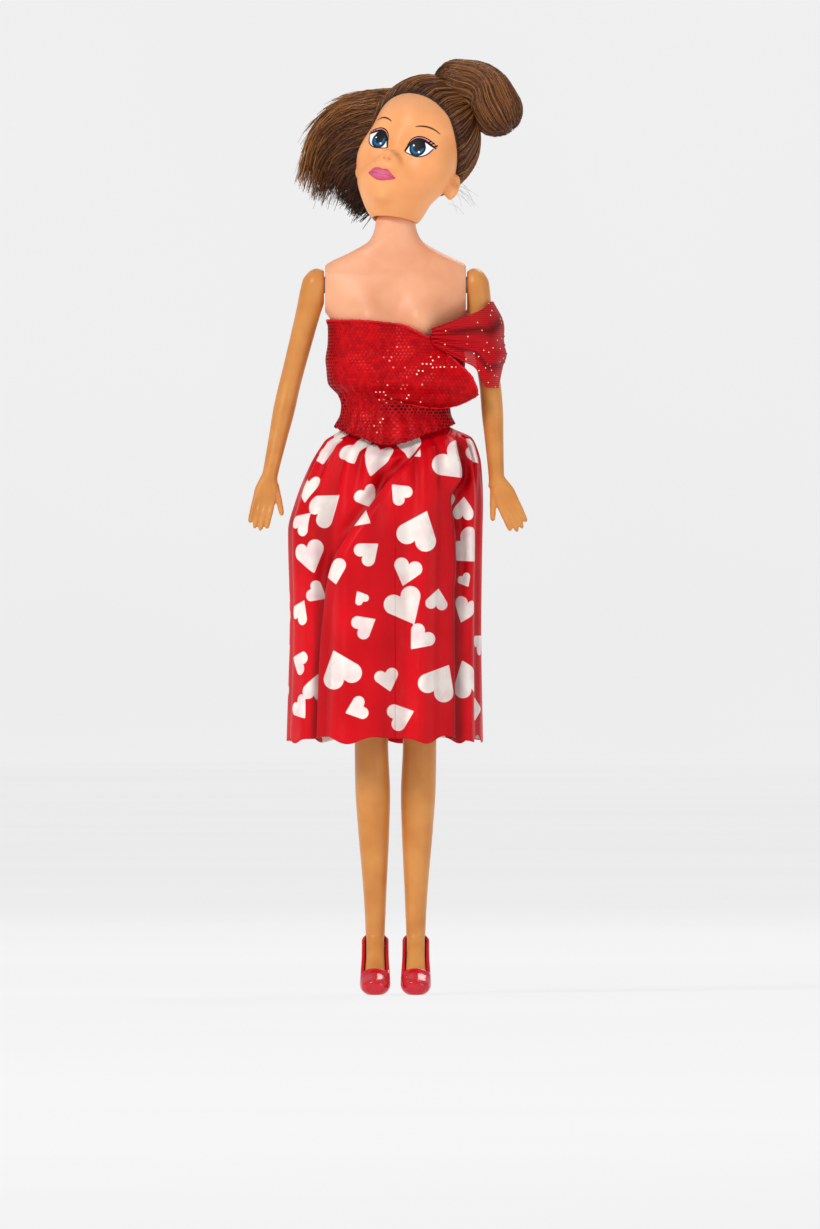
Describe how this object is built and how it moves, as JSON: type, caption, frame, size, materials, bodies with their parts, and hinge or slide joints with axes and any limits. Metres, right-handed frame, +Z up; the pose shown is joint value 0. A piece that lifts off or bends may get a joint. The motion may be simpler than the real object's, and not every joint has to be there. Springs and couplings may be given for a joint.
{
  "type": "fashion doll",
  "caption": "Slim jointed fashion doll with rooted brown hair, a painted face, a sparkling red bodice, a net drape and a long gathered red skirt with hearts.",
  "frame": {"origin": "middle of the waist, where a hand or a stand holds the doll", "axes": "+Z up along the standing body, -Y the way the chest faces, +X the doll's left"},
  "size_m": [0.0879, 0.0535, 0.295],
  "materials": {
    "torso_plastic": "pinkish peach hard plastic, satin",
    "axle_steel": "plain steel pin",
    "plug_plastic": "off-white plastic",
    "head_vinyl": "soft warm peach vinyl, satin",
    "hair_fibre": "glossy brown nylon hair",
    "hair_elastic": "thin brown elastic",
    "limb_vinyl": "darker tan vinyl, satin",
    "shoe_plastic": "glossy red plastic",
    "bodice_fabric": "red knit with a foil net pattern",
    "binding_fabric": "dark red rolled edge",
    "tape_fabric": "white touch-and-close tape",
    "skirt_satin": "red satin printed with white hearts",
    "drape_net": "red glitter net, partly see-through"
  },
  "bodies": {
    "torso": {"torso_front": "torso_plastic", "torso_back": "torso_plastic", "hip_axle": "axle_steel", "bodice": "bodice_fabric", "neckline_binding": "binding_fabric", "blouse_binding": "binding_fabric", "closure_loops": "tape_fabric", "closure_hooks": "tape_fabric", "skirt_waistband": "skirt_satin", "skirt": "skirt_satin", "shoulder_drape": "drape_net"},
    "neck": {"neck_knob": "plug_plastic"},
    "head": {"head_shell": "head_vinyl", "hair_cap": "hair_fibre", "hair_bun": "hair_fibre", "hair_tie": "hair_elastic", "hair_loose": "hair_fibre"},
    "arm_right": {"arm_right": "limb_vinyl", "shoulder_peg_right": "plug_plastic"},
    "arm_left": {"arm_left": "limb_vinyl", "shoulder_peg_left": "plug_plastic"},
    "leg_right": {"leg_right": "limb_vinyl", "shoe_right": "shoe_plastic"},
    "leg_left": {"leg_left": "limb_vinyl", "shoe_left": "shoe_plastic"}
  },
  "joints": [
    {"name": "head_turn", "type": "hinge", "parent": "torso", "child": "neck", "pos_m": [0, 0, 0.0641], "axis": [0, 0, 1], "range_deg": [-40, 80]},
    {"name": "head_nod", "type": "hinge", "parent": "neck", "child": "head", "pos_m": [0, 0, 0.0641], "axis": [0.8831, -0.4226, -0.2039], "range_deg": [-4, 14]},
    {"name": "shoulder_right", "type": "hinge", "parent": "torso", "child": "arm_right", "pos_m": [-0.026, 0, 0.0378], "axis": [-1, 0, 0], "range_deg": [-60, 170]},
    {"name": "shoulder_left", "type": "hinge", "parent": "torso", "child": "arm_left", "pos_m": [0.026, 0, 0.0378], "axis": [-1, 0, 0], "range_deg": [-25, 60], "deforming": ["shoulder_drape"]},
    {"name": "hip_right", "type": "hinge", "parent": "torso", "child": "leg_right", "pos_m": [-0.0093, 0, -0.028], "axis": [-1, 0, 0], "range_deg": [-15, 80], "deforming": ["skirt"]},
    {"name": "hip_left", "type": "hinge", "parent": "torso", "child": "leg_left", "pos_m": [0.0093, 0, -0.028], "axis": [-1, 0, 0], "range_deg": [-15, 80], "deforming": ["skirt"]}
  ]
}
